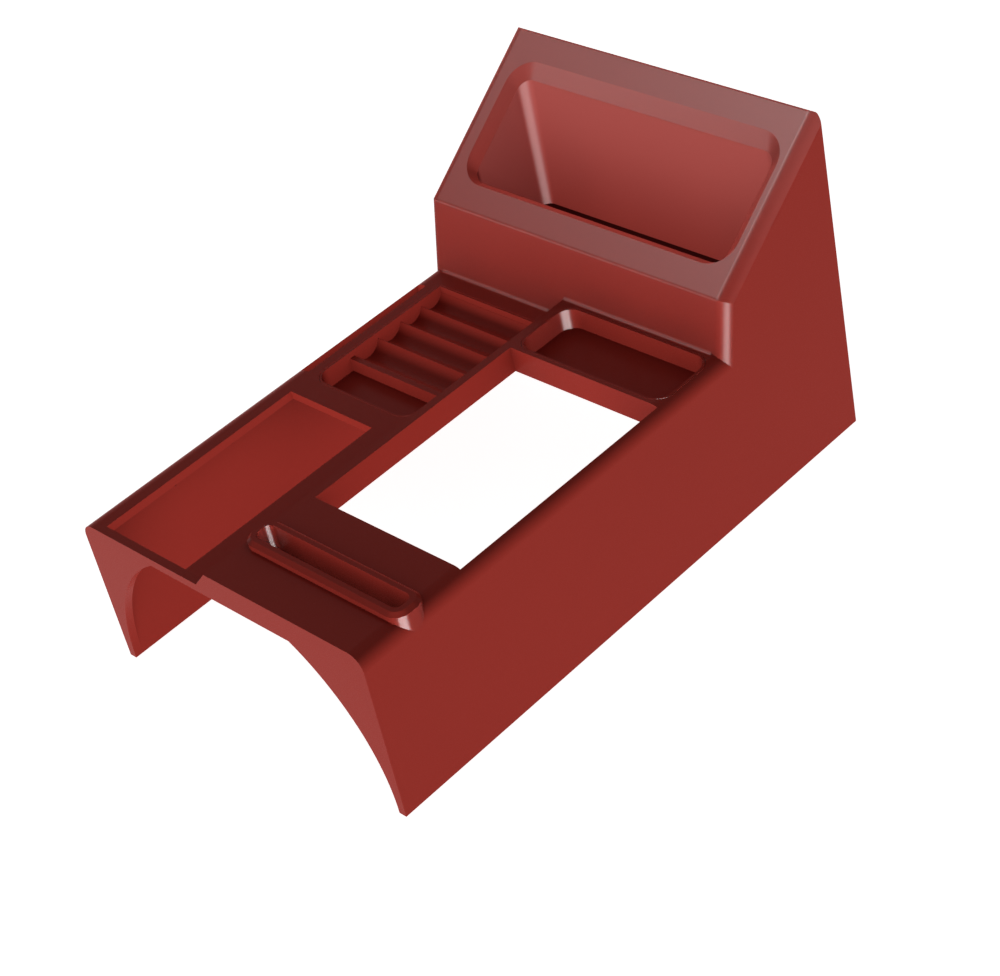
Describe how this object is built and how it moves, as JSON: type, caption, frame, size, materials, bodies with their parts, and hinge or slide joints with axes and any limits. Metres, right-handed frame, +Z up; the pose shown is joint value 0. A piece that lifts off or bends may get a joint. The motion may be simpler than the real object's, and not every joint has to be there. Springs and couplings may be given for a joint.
{
  "type": "console organizer",
  "caption": "Saddle-shaped console organizer that stands over a tunnel on two legs, with a lever opening, coin rack, trays, card and pen slots and a sloped bin.",
  "frame": {"origin": "on the floor under the middle of the body, halfway along it", "axes": "+X towards the raised deck's side, +Y along the body towards the pod, +Z up"},
  "size_m": [0.2918, 0.4891, 0.2689],
  "materials": {
    "shell_plastic": "satin",
    "insert_plastic": "satin",
    "foot_rubber": "matte",
    "zinc_steel": "zinc plated",
    "brass": "machined"
  },
  "bodies": {
    "body": {"near_bulkhead": "shell_plastic", "left_side_panel": "shell_plastic", "right_side_panel": "shell_plastic", "left_deck": "shell_plastic", "right_deck": "shell_plastic", "pod_face": "shell_plastic", "rear_panel": "shell_plastic", "bin_liner": "insert_plastic", "rack_cradle": "insert_plastic", "card_holster": "insert_plastic", "pen_trough": "insert_plastic", "rear_cross_rib": "shell_plastic", "left_foot_strip": "foot_rubber", "right_foot_strip": "foot_rubber", "left_deck_cleat": "shell_plastic", "right_deck_cleat_near": "shell_plastic", "right_deck_cleat_mid": "shell_plastic", "left_near_cleat": "shell_plastic", "right_near_cleat": "shell_plastic", "left_rear_cleat": "shell_plastic", "right_rear_cleat": "shell_plastic", "left_pod_cleat": "shell_plastic", "right_pod_cleat": "shell_plastic", "left_rib_cleat": "shell_plastic", "right_rib_cleat": "shell_plastic", "left_near_bracket": "zinc_steel", "right_near_bracket": "zinc_steel", "left_rear_bracket": "zinc_steel", "right_rear_bracket": "zinc_steel", "cleat_screws": "zinc_steel", "rear_panel_screws": "zinc_steel", "bin_screws": "zinc_steel", "cradle_screws": "zinc_steel", "bracket_screws": "zinc_steel", "bracket_washers": "zinc_steel", "bracket_inserts": "brass"},
    "coin_rack": {"coin_rack": "insert_plastic"},
    "rear_tray": {"rear_tray": "insert_plastic"}
  },
  "joints": [
    {"name": "coin_rack_lift", "type": "slide", "parent": "body", "child": "coin_rack", "axis": [0, 0, 1], "range_m": [0, 0.06]},
    {"name": "rear_tray_lift", "type": "slide", "parent": "body", "child": "rear_tray", "axis": [0, 0, 1], "range_m": [0, 0.06]}
  ]
}
